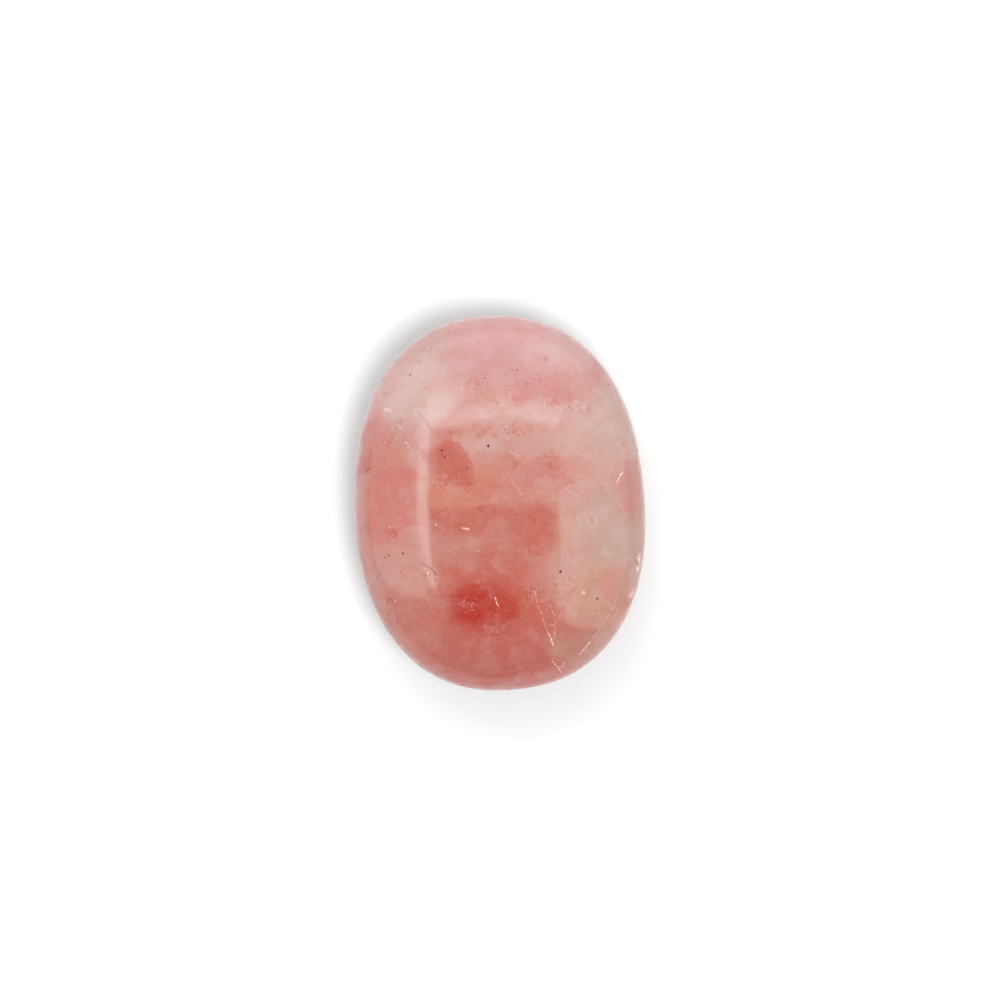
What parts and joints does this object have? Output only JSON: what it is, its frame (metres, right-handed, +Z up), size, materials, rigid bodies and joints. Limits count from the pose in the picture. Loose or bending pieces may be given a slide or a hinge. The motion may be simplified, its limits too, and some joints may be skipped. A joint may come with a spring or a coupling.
{
  "type": "rose quartz palm stone",
  "caption": "Flattened oval pebble of polished, cloudy pink quartz with a small flat on its underside, shaped to lie on a surface or rest in the palm.",
  "frame": {"origin": "middle of the footprint, on the plane of the small resting flat under the stone", "axes": "+Y along the length of the oval, +X across its width, +Z up through the thickness"},
  "size_m": [0.0466, 0.06, 0.024],
  "materials": {
    "rose_quartz": "high polish on cloudy, translucent pink quartz with milky veils, salmon and deep rose clouds and fine healed cracks"
  },
  "bodies": {
    "root": {"stone": "rose_quartz"}
  },
  "joints": []
}
